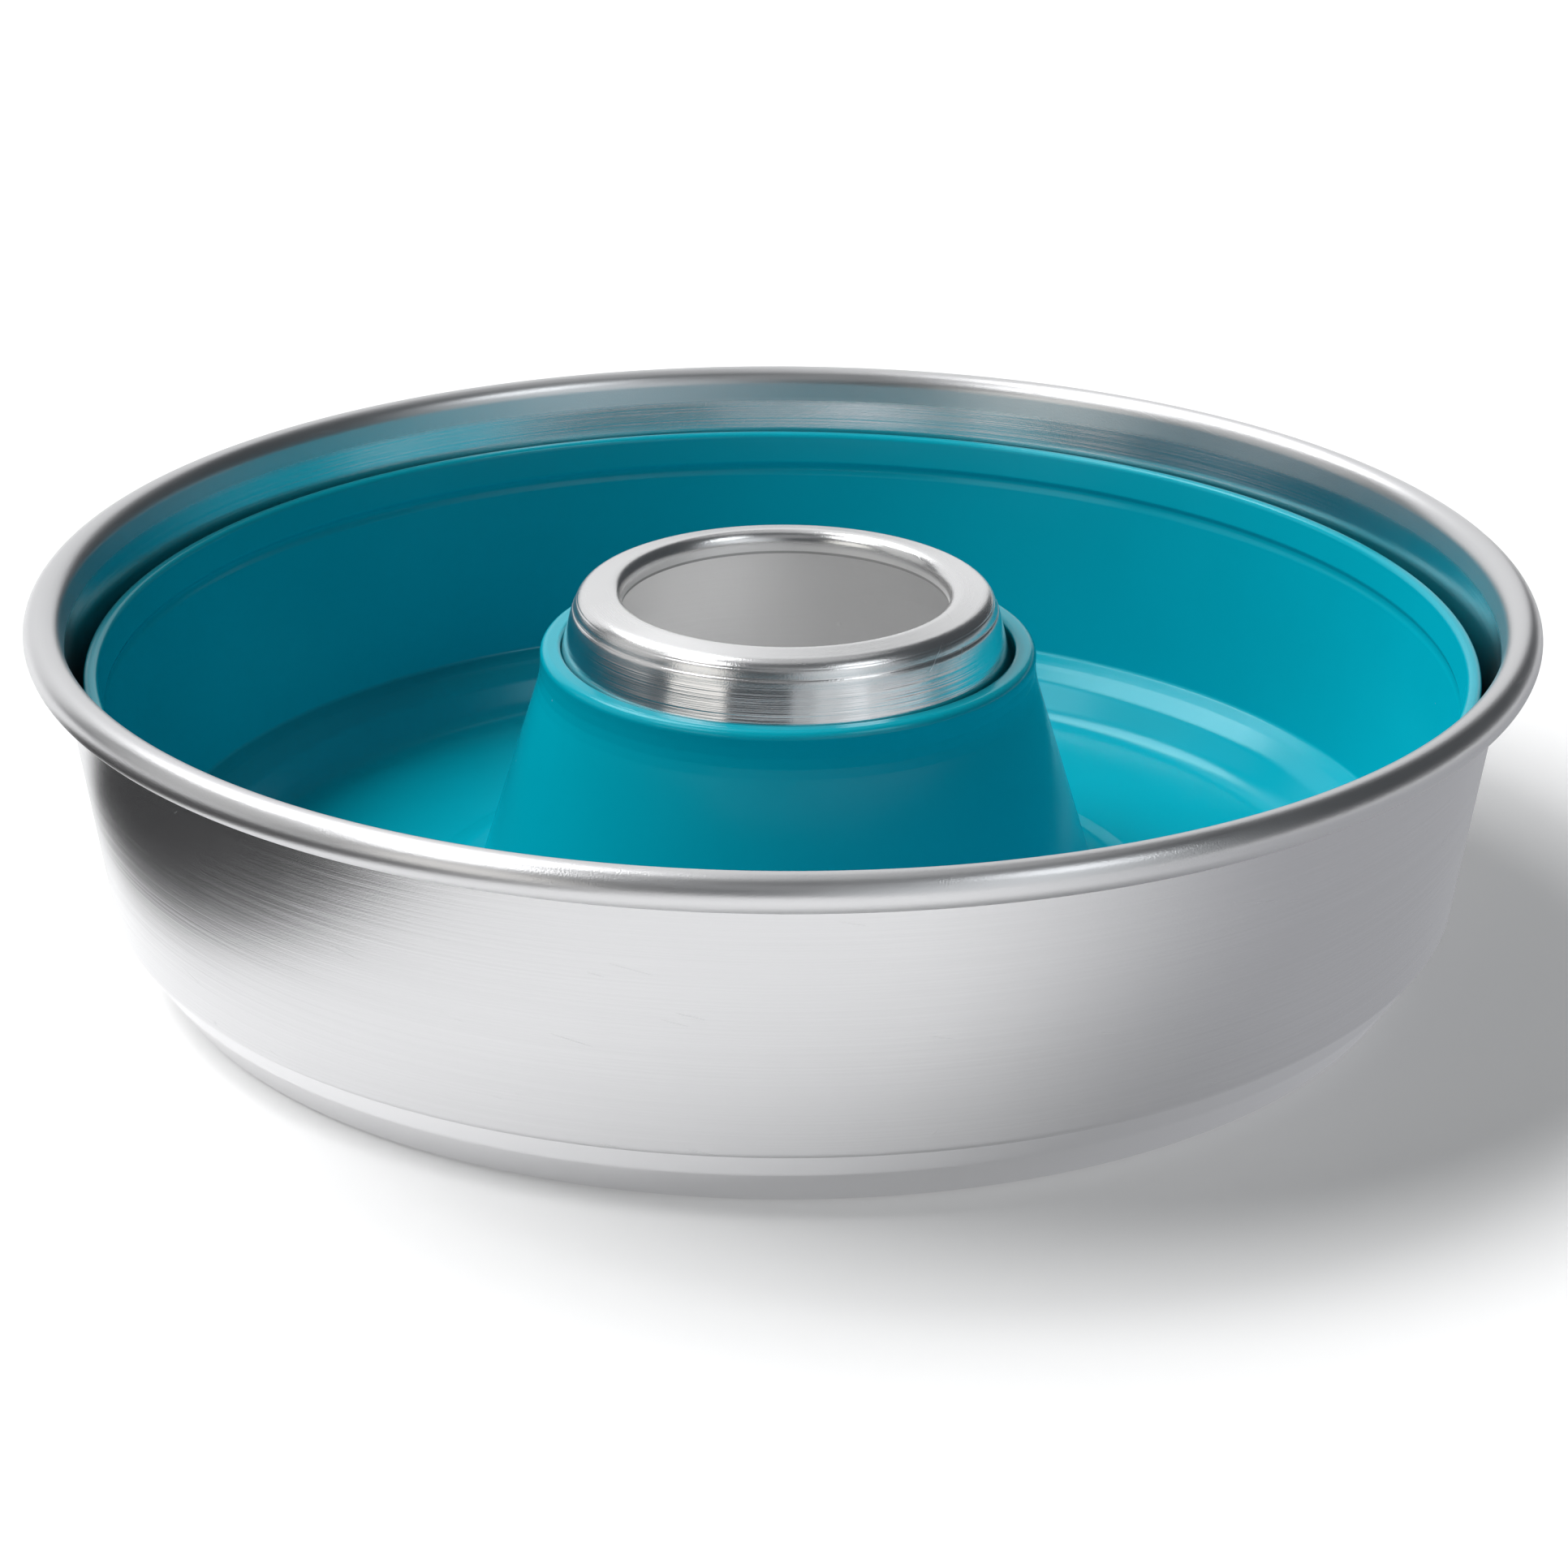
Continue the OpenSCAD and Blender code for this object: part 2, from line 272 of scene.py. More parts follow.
class Fit:
    """The radii and heights that more than one piece is made to."""

    def __init__(self, scene):
        self.pan = pan = scene.cakepan_pan
        self.tube = tube = scene.cakepan_tube
        self.liner = scene.cakepan_liner
        bead = pan.bead_d / 2
        self.bead_centre = np.array([pan.rim_d / 2 - bead, pan.height - bead])
        self.bead_mid = bead - pan.sheet / 2
        self.wall_top = self.bead_centre + self.bead_mid * np.array(
            [-math.cos(pan.wall_lean), math.sin(pan.wall_lean)])
        self.shoulder_r = tube.hole_d / 2 + tube.face_w
        self.shoulder_z = pan.height - tube.shoulder_drop
        self.seat_z = pan.seat_lift + pan.sheet / 2
        self.clinch_z = pan.seat_lift + pan.sheet + tube.clinch_gap + tube.sheet / 2
        self.clinch_top = self.clinch_z + tube.clinch_w + 0.3 * MM
        self.neck_r = self.tube_r(self.clinch_top)
        self.seat_end_r = self.neck_r + tube.flange_w + pan.seat_over
        self.band_r = self.wall_r(pan.corner_h) - pan.step_w

    def wall_r(self, z):
        return self.wall_top[0] - (self.wall_top[1] - z) * math.tan(self.pan.wall_lean)

    def tube_r(self, z):
        return (self.shoulder_r + self.tube.shoulder_step
                + (self.shoulder_z - z) * math.tan(self.tube.lean))

    def pan_outline(self):
        pan = self.pan
        foot_r = self.band_r - pan.band_h * math.tan(pan.wall_lean)
        rise = pan.corner_h - pan.band_h - pan.sheet / 2
        path = [
            (self.neck_r + self.tube.sheet / 2 + self.tube.hole_gap, self.seat_z, 0),
            (self.seat_end_r, self.seat_z, 1.5 * MM),
            (self.seat_end_r + pan.seat_slope_w, pan.sheet / 2, 1.5 * MM),
            (foot_r - rise * math.tan(pan.edge_lean), pan.sheet / 2, pan.floor_bend),
            (foot_r, pan.corner_h - pan.band_h, 1.2 * MM),
            (self.band_r, pan.corner_h, 0.9 * MM),
            (self.wall_r(pan.corner_h), pan.corner_h, 1.1 * MM),
        ]
        steps = math.ceil(pan.bead_turn / CURL_STEP)
        for k in range(steps + 1):
            turn = math.pi - pan.wall_lean - pan.bead_turn * k / steps
            at = self.bead_centre + self.bead_mid * np.array([math.cos(turn), math.sin(turn)])
            path.append((at[0], at[1], 0))
        return sheet_outline(path, pan.sheet)

    def tube_outline(self):
        tube = self.tube
        lip_r = (tube.hole_d + tube.sheet) / 2
        face_z = self.shoulder_z + (self.shoulder_r - lip_r) * math.tan(tube.face_slope)
        step_z = self.shoulder_z - tube.shoulder_h
        under_z = step_z - 0.6 * MM
        flange_z = self.pan.seat_lift - tube.sheet / 2
        path = [
            (lip_r, face_z - tube.lip_h, 0),
            (lip_r, face_z, 1.6 * MM),
            (self.shoulder_r, self.shoulder_z, 1.2 * tube.shoulder_h),
            (self.tube_r(step_z) - tube.shoulder_step, step_z, 0.7 * MM),
            (self.tube_r(under_z), under_z, 0.7 * MM),
            (self.neck_r, self.clinch_top, 1.2 * MM),
            (self.neck_r + tube.clinch_w, self.clinch_z, min(0.7 * MM, 0.26 * tube.clinch_w)),
            (self.neck_r, self.clinch_z, 0.75 * MM),
            (self.neck_r, flange_z, 0.75 * MM),
            (self.neck_r + tube.flange_w, flange_z, 0),
        ]
        return sheet_outline(path, tube.sheet)

    def liner_outline(self):
        pan, liner = self.pan, self.liner
        half = liner.thickness / 2
        cone_lean = self.tube.lean + liner.cone_flare
        lip_z = pan.height - liner.cone_drop
        lip_r = (self.tube_r(lip_z) + self.tube.sheet / 2 / math.cos(self.tube.lean)
                 + liner.cone_gap)
        cone_half = half / math.cos(cone_lean)

        def cone_r(z):
            return lip_r + cone_half + (lip_z - z) * math.tan(cone_lean)

        rim_z = pan.height - liner.drop
        ledge_z = pan.sheet + liner.ledge_h
        pan_half = pan.sheet / 2 / math.cos(pan.wall_lean)
        rim_r = self.wall_r(rim_z) - pan_half - liner.wall_gap
        below = max(pan.corner_h - ledge_z, 0)
        foot_r = self.band_r - below * math.tan(pan.wall_lean) - pan_half - liner.foot_gap
        lean = math.atan((rim_r - foot_r) / (rim_z - ledge_z))
        wall_half = half / math.cos(lean)

        def wall_r(z):
            return rim_r - wall_half - (rim_z - z) * math.tan(lean)

        floor_z = pan.sheet + half
        seat_z = pan.seat_lift + pan.sheet + liner.seat_gap + half
        ledge_r = wall_r(ledge_z)
        collar_r = self.seat_end_r + liner.collar_over
        collar_bend = min(4 * MM, collar_r - cone_r(seat_z))
        path = [
            (cone_r(lip_z), lip_z, 0),
            (cone_r(seat_z), seat_z, collar_bend),
            (collar_r, seat_z, collar_bend),
            (collar_r + pan.seat_slope_w + 2 * MM, floor_z, 4 * MM),
            (ledge_r - liner.ledge_w - liner.slope_w, floor_z, 8 * MM),
            (ledge_r - liner.ledge_w, ledge_z - liner.ledge_fall, 3.5 * MM),
            (ledge_r - liner.ledge_w / 2, ledge_z - liner.ledge_fall / 2 + liner.ledge_crown,
             9 * MM),
            (ledge_r, ledge_z, 2 * MM),
            (wall_r(rim_z), rim_z, 0),
        ]
        lip_t = liner.cone_lip_t
        lip_h = (lip_t - 2 * cone_half) / math.tan(cone_lean)
        rim_t = 2 * wall_half + liner.rim_band_w
        band_z = rim_z - liner.rim_band_h
        cone_lip = [
            (lip_r, lip_z, 0.2 * lip_t),
            (lip_r + lip_t, lip_z, 0.4 * lip_t),
            (lip_r + lip_t, lip_z - lip_h, 18 * MM),
        ]
        rim_band = [
            (wall_r(band_z) - wall_half, band_z, 0.8 * MM),
            (rim_r - rim_t - (liner.rim_band_h - 0.8 * MM) * math.tan(lean),
             band_z + 0.8 * MM, 0.8 * MM),
            (rim_r - rim_t, rim_z, 0.43 * rim_t),
            (rim_r, rim_z, 0.43 * rim_t),
        ]
        return rounded(cone_lip + beside(path, half)[1:-1] + rim_band
                       + beside(path, -half)[1:-1][::-1])


# Meshes

def turned(name, outline, body, node, material, bend=None):
    """A piece turned from a closed outline round the Z axis. Its UV map holds the part of
    a turn and the length along the outline in millimetres."""
    section = with_close_points(outline)
    area = np.sum(section[:, 0] * np.roll(section[:, 1], -1)
                  - np.roll(section[:, 0], -1) * section[:, 1])
    if area < 0:
        section = section[::-1]
    n, m = len(section), ROUND_STEPS
    turn = np.arange(m) / m
    around = 2 * math.pi * turn + math.pi / 2
    x = section[:, 0][:, None] * np.cos(around)[None]
    y = section[:, 0][:, None] * np.sin(around)[None]
    z = np.repeat(section[:, 1][:, None], m, 1)
    points = np.stack([x, y, z], -1)
    if bend:
        points = bend(points)
    i, j = np.meshgrid(np.arange(n), np.arange(m), indexing="ij")
    i2, j2 = (i + 1) % n, (j + 1) % m
    faces = np.stack([i * m + j, i * m + j2, i2 * m + j2, i2 * m + j], -1).reshape(-1, 4)
    mesh = bpy.data.meshes.new(name)
    mesh.from_pydata(points.reshape(-1, 3).tolist(), [], faces.tolist())
    gaps = np.linalg.norm(np.roll(section, -1, 0) - section, axis=1)
    along = np.concatenate([[0], np.cumsum(gaps)]) / MM
    u = np.stack([j, j + 1, j + 1, j], -1) / m
    v = along[np.stack([i, i, i + 1, i + 1], -1)]
    layer = mesh.uv_layers.new(name="turn_and_length")
    layer.data.foreach_set("uv", np.stack([u, v], -1).reshape(-1).astype(np.float32))
    mesh.shade_smooth()
    mesh.set_sharp_from_angle(angle=SHARP_EDGE)
    mesh.materials.append(material)
    mesh.validate()
    piece = bpy.data.objects.new(name, mesh)
    bpy.context.scene.collection.objects.link(piece)
    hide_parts(node)
    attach(piece, body)
    return piece


def spun_true(points):
    """The pan's wall wanders inwards by less than a tenth of a millimetre, as spun sheet does."""
    x, y, z = points[..., 0], points[..., 1], points[..., 2]
    around = np.arctan2(y, x)
    high = np.clip(z / (cad_box[1].z - cad_box[0].z), 0, 1) ** 2
    drift = (np.sin(2 * around + 0.7) + 0.5 * np.sin(3 * around + 2.1)
             + 0.35 * np.sin(7 * around + z * 60) - 1.85) * 0.035 * MM * high
    radius = np.hypot(x, y)
    points[..., 0] += drift * x / radius
    points[..., 1] += drift * y / radius
    return points


def leaning(points):
    """The tube was clinched in a little off true."""
    tube = bpy.context.scene.cakepan_tube
    height = np.clip(points[..., 2] / cad_box[1].z, 0, 1)
    points[..., 0] += tube.off_true * height
    return points


def settled(points):
    """The liner lies a little off the tube's middle and its soft lips aren't true circles."""
    liner = bpy.context.scene.cakepan_liner
    x, y, z = points[..., 0], points[..., 1], points[..., 2]
    radius = np.hypot(x, y)
    around = np.arctan2(y, x)
    inner = np.clip((100 * MM - radius) / (35 * MM), 0, 1)
    inner = inner * inner * (3 - 2 * inner)
    top = cad_box[1].z - liner.drop
    height = np.clip((z - 12 * MM) / (top - 12 * MM), 0, 1)
    soft = liner.slack * (np.sin(2 * around + 1.1) + 0.6 * np.sin(3 * around - 0.4)
                          + 0.3 * np.sin(5 * around + 2.0)) * height
    lip = liner.slack * 0.6 * (np.sin(3 * around + 0.5) + 0.5 * np.sin(4 * around)) * height
    radial = np.where(radius > OUTER_LINER_R, soft, lip)
    points[..., 0] += radial * x / radius + liner.cone_shift * inner
    points[..., 1] += radial * y / radius
    points[..., 2] += np.where(
        radius > OUTER_LINER_R,
        -0.12 * MM * (1 + np.sin(2 * around + 0.3)) * height ** 3,
        -0.08 * MM * (1 + np.sin(3 * around + 2)) * height ** 3)
    return points


# Materials

class Wire:
    """A shader socket that takes part in sums."""

    def __init__(self, finish, socket):
        self.finish = finish
        self.socket = socket

    def _sum(self, operation, a, b):
        return self.finish.node("ShaderNodeMath", {"operation": operation}, {0: a, 1: b})

    def __add__(self, other):
        return self._sum("ADD", self, other)

    def __radd__(self, other):
        return self._sum("ADD", other, self)

    def __sub__(self, other):
        return self._sum("SUBTRACT", self, other)

    def __rsub__(self, other):
        return self._sum("SUBTRACT", other, self)

    def __mul__(self, other):
        return self._sum("MULTIPLY", self, other)

    def __rmul__(self, other):
        return self._sum("MULTIPLY", other, self)

    def __truediv__(self, other):
        return self._sum("DIVIDE", self, other)

    def __rtruediv__(self, other):
        return self._sum("DIVIDE", other, self)


class Finish:
    """A material and the nodes that it is made of."""

    def __init__(self, name):
        self.material = bpy.data.materials.new(name)
        self.material.use_nodes = True
        self.tree = self.material.node_tree
        self.tree.nodes.clear()

    def node(self, kind, settings=None, inputs=None, out=0):
        node = self.tree.nodes.new(kind)
        for key, value in (settings or {}).items():
            if key == "stops":
                ramp = node.color_ramp.elements
                while len(ramp) < len(value):
                    ramp.new(1.0)
                for stop, (at, shade) in zip(ramp, value):
                    stop.position = at
                    stop.color = (*shade, 1.0)
            else:
                setattr(node, key, value)
        for key, value in (inputs or {}).items():
            socket = self.socket_of(node.inputs, key)
            if isinstance(value, Wire):
                self.tree.links.new(value.socket, socket)
            else:
                socket.default_value = value
        return Wire(self, self.socket_of(node.outputs, out))

    @staticmethod
    def socket_of(sockets, key):
        if isinstance(key, int):
            return sockets[key]
        return next(s for s in sockets if key in (s.identifier, s.name))

    def step(self, value, low, high):
        """0 below low, 1 above high, smooth between."""
        return self.node("ShaderNodeMapRange", {"interpolation_type": "SMOOTHSTEP"},
                         {"Value": value, "From Min": low, "From Max": high})

    def blend(self, factor, a, b):
        """Colour a where factor is 0 and colour b where it is 1."""
        return self.node("ShaderNodeMix", {"data_type": "RGBA"},
                         {"Factor_Float": factor, "A_Color": a, "B_Color": b}, "Result_Color")

    def noise(self, vector, scale=1.0, detail=2.0, roughness=0.5, distortion=0.0):
        return self.node("ShaderNodeTexNoise", {"noise_dimensions": "3D"},
                         {"Vector": vector, "Scale": scale, "Detail": detail,
                          "Roughness": roughness, "Distortion": distortion})

    def point(self, x, y, z):
        return self.node("ShaderNodeCombineXYZ", None, {"X": x, "Y": y, "Z": z})

    def from_axis(self, x, y):
        """The distance of (x, y) from the Z axis."""
        return self.node("ShaderNodeVectorMath", {"operation": "LENGTH"},
                         {0: self.point(x, y, 0.0)}, "Value")

    def parts(self, vector):
        split = self.node("ShaderNodeSeparateXYZ", None, {"Vector": vector}).socket.node
        return [Wire(self, s) for s in split.outputs]

    def bump(self, height, strength=1.0):
        """Normals for a height in millimetres."""
        return self.node("ShaderNodeBump", None,
                         {"Strength": strength, "Distance": MM, "Height": height})

    def surface(self, inputs):
        shader = self.node("ShaderNodeBsdfPrincipled", None, inputs)
        self.node_output(shader)
        return self.material

    def node_output(self, shader):
        output = self.tree.nodes.new("ShaderNodeOutputMaterial")
        self.tree.links.new(shader.socket, output.inputs["Surface"])


def rgba(value):
    return (*value, 1.0)


def spun_lines(f, x, y, along, pitch):
    """Fine lines round the piece, from 0 to 1, about pitch millimetres apart."""
    return f.noise(f.point(x * 9, y * 9, along * (1 / pitch)), detail=3.0, roughness=0.6)


def scratches(f, turn, along, reach, slant, seed):
    """A few thin scratches, 1 in each, over a piece that is reach millimetres round."""
    arc = turn * reach
    line = f.noise(f.point(arc / 14, (along + arc * slant) / 0.2, seed), detail=0.0)
    keep = f.noise(f.point(arc / 30, along / 9, seed + 5.0), detail=1.0)
    return f.step(line, 0.80, 0.86) * f.step(keep, 0.60, 0.68)


def groove(f, z, middle, width):
    """A groove round the piece at one height, 1 in its middle."""
    return f.step(z, middle - width, middle) * (1 - f.step(z, middle, middle + width))


def nicks(f, place, each, size):
    """Small round dents, 1 in each, about one in every cube of side each."""
    spot = f.node("ShaderNodeTexVoronoi", {"feature": "F1"},
                  {"Vector": place, "Scale": 1 / each, "Randomness": 1.0}, "Distance")
    tint = Wire(f, f.socket_of(spot.socket.node.outputs, "Color"))
    chosen = f.step(f.parts(tint)[0], 0.45, 0.5)
    return (1 - f.step(spot, size / each * 0.4, size / each)) * chosen


def pan_aluminium(looks, fit):
    f = Finish("pan_aluminium")
    place = f.node("ShaderNodeTexCoord", out="Object")
    turn, along, _ = f.parts(f.node("ShaderNodeTexCoord", out="UV"))
    x, y, z = f.parts(place)
    under_bead = fit.pan.height - fit.pan.bead_d
    bead = f.step(z, under_bead - 0.4 * MM, under_bead + 1.2 * MM)
    radius = f.from_axis(x, y)
    middle_r = fit.wall_r(z)
    inner = (1 - f.step(radius - middle_r, -0.2 * MM, 0.1 * MM)) * (1 - bead)
    lines = spun_lines(f, x, y, along, 0.33)
    broad = spun_lines(f, x, y, along, 1.2)
    chatter = f.noise(f.point(x * 90, y * 90, along * 0.9), detail=1.0)
    cloud = f.noise(place, scale=26.0, detail=3.0, roughness=0.6)
    waves = f.noise(place, scale=11.0, detail=1.0)
    grain = f.noise(place, scale=3200.0, detail=1.0)
    marks = (scratches(f, turn, along, PAN_ROUND_MM, 0.21, 1.3)
             + scratches(f, turn, along, PAN_ROUND_MM, -0.62, 7.9) * 0.7)
    dents = nicks(f, place, 21 * MM, 0.8 * MM)
    open_wall = 1 - bead
    shade = f.blend(cloud, rgba([c * 0.93 for c in looks.pan]), rgba(looks.pan))
    shade = f.blend(f.step(lines, 0.35, 0.65) * open_wall * 0.5, shade,
                    rgba([c * 0.92 for c in looks.pan]))
    shade = f.blend(dents * 0.5, shade, (0.30, 0.30, 0.31, 1.0))
    # Painted light: the inner face gets a lighter colour than the outside, which brightens what
    # it reflects there
    shade = f.blend(inner, shade, (0.79, 0.79, 0.80, 1.0))
    roughness = (looks.pan_roughness * open_wall + looks.bead_roughness * bead - inner * 0.05
                 + (cloud - 0.5) * 0.10 + (lines - 0.5) * 0.08 + marks * 0.10)
    height_mm = ((lines - 0.5) * (0.012 - bead * 0.010) + (broad - 0.5) * 0.024 * open_wall
                 + (chatter - 0.5) * 0.004 * open_wall + (waves - 0.5) * 0.10
                 + (grain - 0.5) * (0.008 + bead * 0.010) - marks * 0.010 - dents * 0.08)
    return f.surface({"Base Color": shade, "Metallic": 1.0, "Roughness": roughness,
                      "Anisotropic": 0.5, "Anisotropic Rotation": 0.25,
                      "Normal": f.bump(height_mm)})


def tube_aluminium(looks, fit):
    f = Finish("tube_aluminium")
    place = f.node("ShaderNodeTexCoord", out="Object")
    turn, along, _ = f.parts(f.node("ShaderNodeTexCoord", out="UV"))
    x, y, z = f.parts(place)
    upright = x - z * (fit.tube.off_true / fit.pan.height)
    radius = f.from_axis(upright, y)
    side_r = fit.tube_r(z)
    outside = f.step(radius - side_r, -0.5 * MM, 0.0)
    face = f.step(z, fit.shoulder_z - 1.6 * MM, fit.shoulder_z - 0.6 * MM)
    inside = (1 - outside) * (1 - face)
    lip_end = fit.shoulder_z + fit.tube.face_w * math.tan(fit.tube.face_slope) - fit.tube.lip_h
    lines = spun_lines(f, x, y, along, 0.3)
    broad = spun_lines(f, x, y, along, 0.9)
    chatter = f.noise(f.point(x * 150, y * 150, along * 0.8), detail=1.0)
    cloud = f.noise(place, scale=45.0, detail=3.0, roughness=0.6)
    waves = f.noise(place, scale=24.0, detail=1.0)
    grain = f.noise(place, scale=3600.0, detail=1.0)
    satin = f.step(z, fit.shoulder_z - fit.tube.shoulder_h - 2.5 * MM,
                   fit.shoulder_z - fit.tube.shoulder_h)
    marks = (scratches(f, turn, along, TUBE_ROUND_MM, 0.3, 3.1)
             + scratches(f, turn, along, TUBE_ROUND_MM, -0.8, 5.7) * 0.6)
    dents = nicks(f, place, 15 * MM, 0.6 * MM)
    shade = f.blend(cloud, rgba([c * 0.95 for c in looks.tube]), rgba(looks.tube))
    # Painted light: the inside of the tube gets a lighter grey, which brightens its shaded hollow
    shade = f.blend(inside, shade, (0.92, 0.92, 0.92, 1.0))
    lip_r = fit.tube.hole_d / 2 + fit.tube.sheet
    # Painted shadow: a dark line round the lip's end, standing for the shade in the gap under it
    lip_end_shadow = (1 - f.step(radius, lip_r + 0.2 * MM, lip_r + 0.5 * MM)) * (
        1 - f.step(z, lip_end + 0.25 * MM, lip_end + 0.5 * MM))
    shade = f.blend(lip_end_shadow * 0.5, shade, (0.10, 0.10, 0.10, 1.0))
    roughness = (looks.tube_roughness + satin * 0.10 + inside * 0.38
                 + (cloud - 0.5) * 0.10 + (lines - 0.5) * 0.08 + marks * 0.12)
    grooves = (groove(f, z, fit.shoulder_z - 0.6 * MM, 0.22 * MM)
               + groove(f, z, fit.shoulder_z - fit.tube.shoulder_h, 0.18 * MM)) * outside
    height_mm = ((lines - 0.5) * 0.006 + (broad - 0.5) * (0.060 - satin * 0.055)
                 - grooves * 0.03
                 + (chatter - 0.5) * 0.006 + (waves - 0.5) * 0.05
                 + (grain - 0.5) * (0.004 + satin * 0.012) - marks * 0.010 - dents * 0.05)
    return f.surface({"Base Color": shade, "Metallic": 1.0, "Roughness": roughness,
                      "Anisotropic": 0.5, "Anisotropic Rotation": 0.25,
                      "Normal": f.bump(height_mm)})


def teal_silicone(looks, fit):
    f = Finish("teal_silicone")
    place = f.node("ShaderNodeTexCoord", out="Object")
    x, y, z = f.parts(place)
    radius = f.from_axis(x, y)
    band_z = fit.pan.height - fit.liner.drop - fit.liner.rim_band_h
    wall_mid = (fit.wall_r(band_z) - fit.pan.sheet / 2 - fit.liner.wall_gap
                - fit.liner.thickness / 2)
    # Painted shade: the colour darkens in a band under the rim band's step, where shade falls;
    # the same mask also bumps a shallow groove there
    crease_and_shade = (groove(f, z, band_z - 0.6 * MM, 1.4 * MM)
              * f.step(radius, OUTER_LINER_R, OUTER_LINER_R + 2 * MM)
              * (1 - f.step(radius, wall_mid - 0.4 * MM, wall_mid + 0.4 * MM)))
    grain = f.noise(place, scale=1500.0, detail=2.0)
    skin = f.noise(place, scale=260.0, detail=3.0, roughness=0.6)
    cloud = f.noise(place, scale=30.0, detail=3.0)
    waves = f.noise(place, scale=18.0, detail=0.0)
    dust = nicks(f, place, 9 * MM, 0.22 * MM)
    shade = f.blend(cloud, rgba([c * 0.93 for c in looks.silicone]),
                    rgba([min(1, c * 1.06) for c in looks.silicone]))
    shade = f.blend(dust * 0.4, shade, (0.45, 0.62, 0.66, 1.0))
    shade = f.blend(crease_and_shade * 0.22, shade, rgba([c * 0.55 for c in looks.silicone]))
    roughness = looks.silicone_roughness + (cloud - 0.5) * 0.12 + (skin - 0.5) * 0.10
    height_mm = ((grain - 0.5) * 0.004 + (skin - 0.5) * 0.006 + (waves - 0.5) * 0.12
                 + dust * 0.03 - crease_and_shade * 0.15)
    return f.surface({"Base Color": shade, "Roughness": roughness, "IOR": 1.41,
                      "Specular Tint": (0.6, 0.97, 1.0, 1.0),
                      "Normal": f.bump(height_mm)})


def card(f, x, y, cover, tone, glow):
    """A dull card that paints a reflection of shade, only there where cover is 1, and not under
    the pan.
    """
    radius = f.from_axis(x, y)
    shader = f.node("ShaderNodeBsdfPrincipled", None, {
        "Base Color": rgba(tone), "Roughness": 0.95, "Specular IOR Level": 0.0,
        "Emission Color": (0.95, 0.96, 1.0, 1.0), "Emission Strength": glow})
    f.node_output(f.node("ShaderNodeMixShader", None, {
        0: cover * f.step(radius, FLAG_START_R, FLAG_FULL_R),
        1: f.node("ShaderNodeBsdfTransparent"), 2: shader}))
    return f.material


def left_shadow_reflection_card():
    """A dark sheet seen only in the metal, painting a reflected shadow as the dark patch in the
    pan's left side, with a soft slanted edge.
    """
    f = Finish("left_shadow_reflection_card")
    x, y, _ = f.parts(f.node("ShaderNodeTexCoord", out="Object"))
    edge = f.step(0 - x - y * 0.14, 0.134, 0.156)
    return card(f, x, y, edge * (1 - f.step(y, 0.025, 0.06)), (0.05, 0.05, 0.051), 0.0)


def right_shade_reflection_card():
    """A faintly glowing grey sheet seen only in the metal, painting a reflected shade in the
    pan's right side, which comes in slowly round the pan.
    """
    f = Finish("right_shade_reflection_card")
    x, y, _ = f.parts(f.node("ShaderNodeTexCoord", out="Object"))
    turn = f.node("ShaderNodeMath", {"operation": "ARCTAN2"}, {0: x, 1: 0 - y})
    cover = f.step(turn, math.radians(10), math.radians(62)) * (
        1 - f.step(turn, math.radians(118), math.radians(172)))
    return card(f, x, y, cover, (0.02, 0.02, 0.022), 0.46)


def plain_paper(looks):
    """Paper that looks white to the camera and in the metal, and keeps the shadow."""
    f = Finish("plain_paper")
    place = f.node("ShaderNodeTexCoord", out="Object")
    fibre = f.noise(place, scale=900.0, detail=3.0)
    shade = f.blend(fibre, rgba([c * 0.99 for c in looks.floor]), rgba(looks.floor))
    path = f.node("ShaderNodeLightPath").socket.node
    seen, glossy, through = (Wire(f, f.socket_of(path.outputs, name)) for name in (
        "Is Camera Ray", "Is Glossy Ray", "Is Transmission Ray"))
    paper = f.node("ShaderNodeBsdfPrincipled", None, {"Base Color": shade, "Roughness": 0.9})
    bright = f.node("ShaderNodeBsdfPrincipled", None, {
        "Base Color": shade, "Roughness": 0.9, "Emission Color": (1.0, 1.0, 1.0, 1.0),
        "Emission Strength": looks.lift})
    f.node_output(f.node("ShaderNodeMixShader", None,
                         {0: seen + glossy + through, 1: paper, 2: bright}))
    return f.material


# Stage

def flat_card(name, corners, material):
    """A flat card with its corners given in metres."""
    mesh = bpy.data.meshes.new(name)
    mesh.from_pydata(corners, [], [tuple(range(len(corners)))])
    mesh.materials.append(material)
    card = bpy.data.objects.new(name, mesh)
    bpy.context.scene.collection.objects.link(card)
    return card


def only_in_the_metal(thing):
    """Leave a card or a lamp to be seen in glossy surfaces alone."""
    thing.visible_camera = False
    thing.visible_diffuse = False
    thing.visible_shadow = False
    thing.visible_transmission = False


def soft_lamp(name, azimuth, elevation, width, glow, tint=(1, 1, 1)):
    """A round softbox far enough away to light the whole floor alike. Azimuth 0 is the
    camera's side and 90 is its right, width is the angle across it and glow its brightness."""
    data = bpy.data.lights.new(name, "SUN")
    data.angle = math.radians(width)
    data.energy = glow * math.pi * math.sin(data.angle / 2) ** 2
    data.color = tint
    lamp = bpy.data.objects.new(name, data)
    bpy.context.scene.collection.objects.link(lamp)
    a, e = math.radians(azimuth), math.radians(elevation)
    back = Vector((math.sin(a) * math.cos(e), -math.cos(a) * math.cos(e), math.sin(e)))
    lamp.rotation_mode = "QUATERNION"
    lamp.rotation_quaternion = back.to_track_quat("Z", "Y")
    return lamp


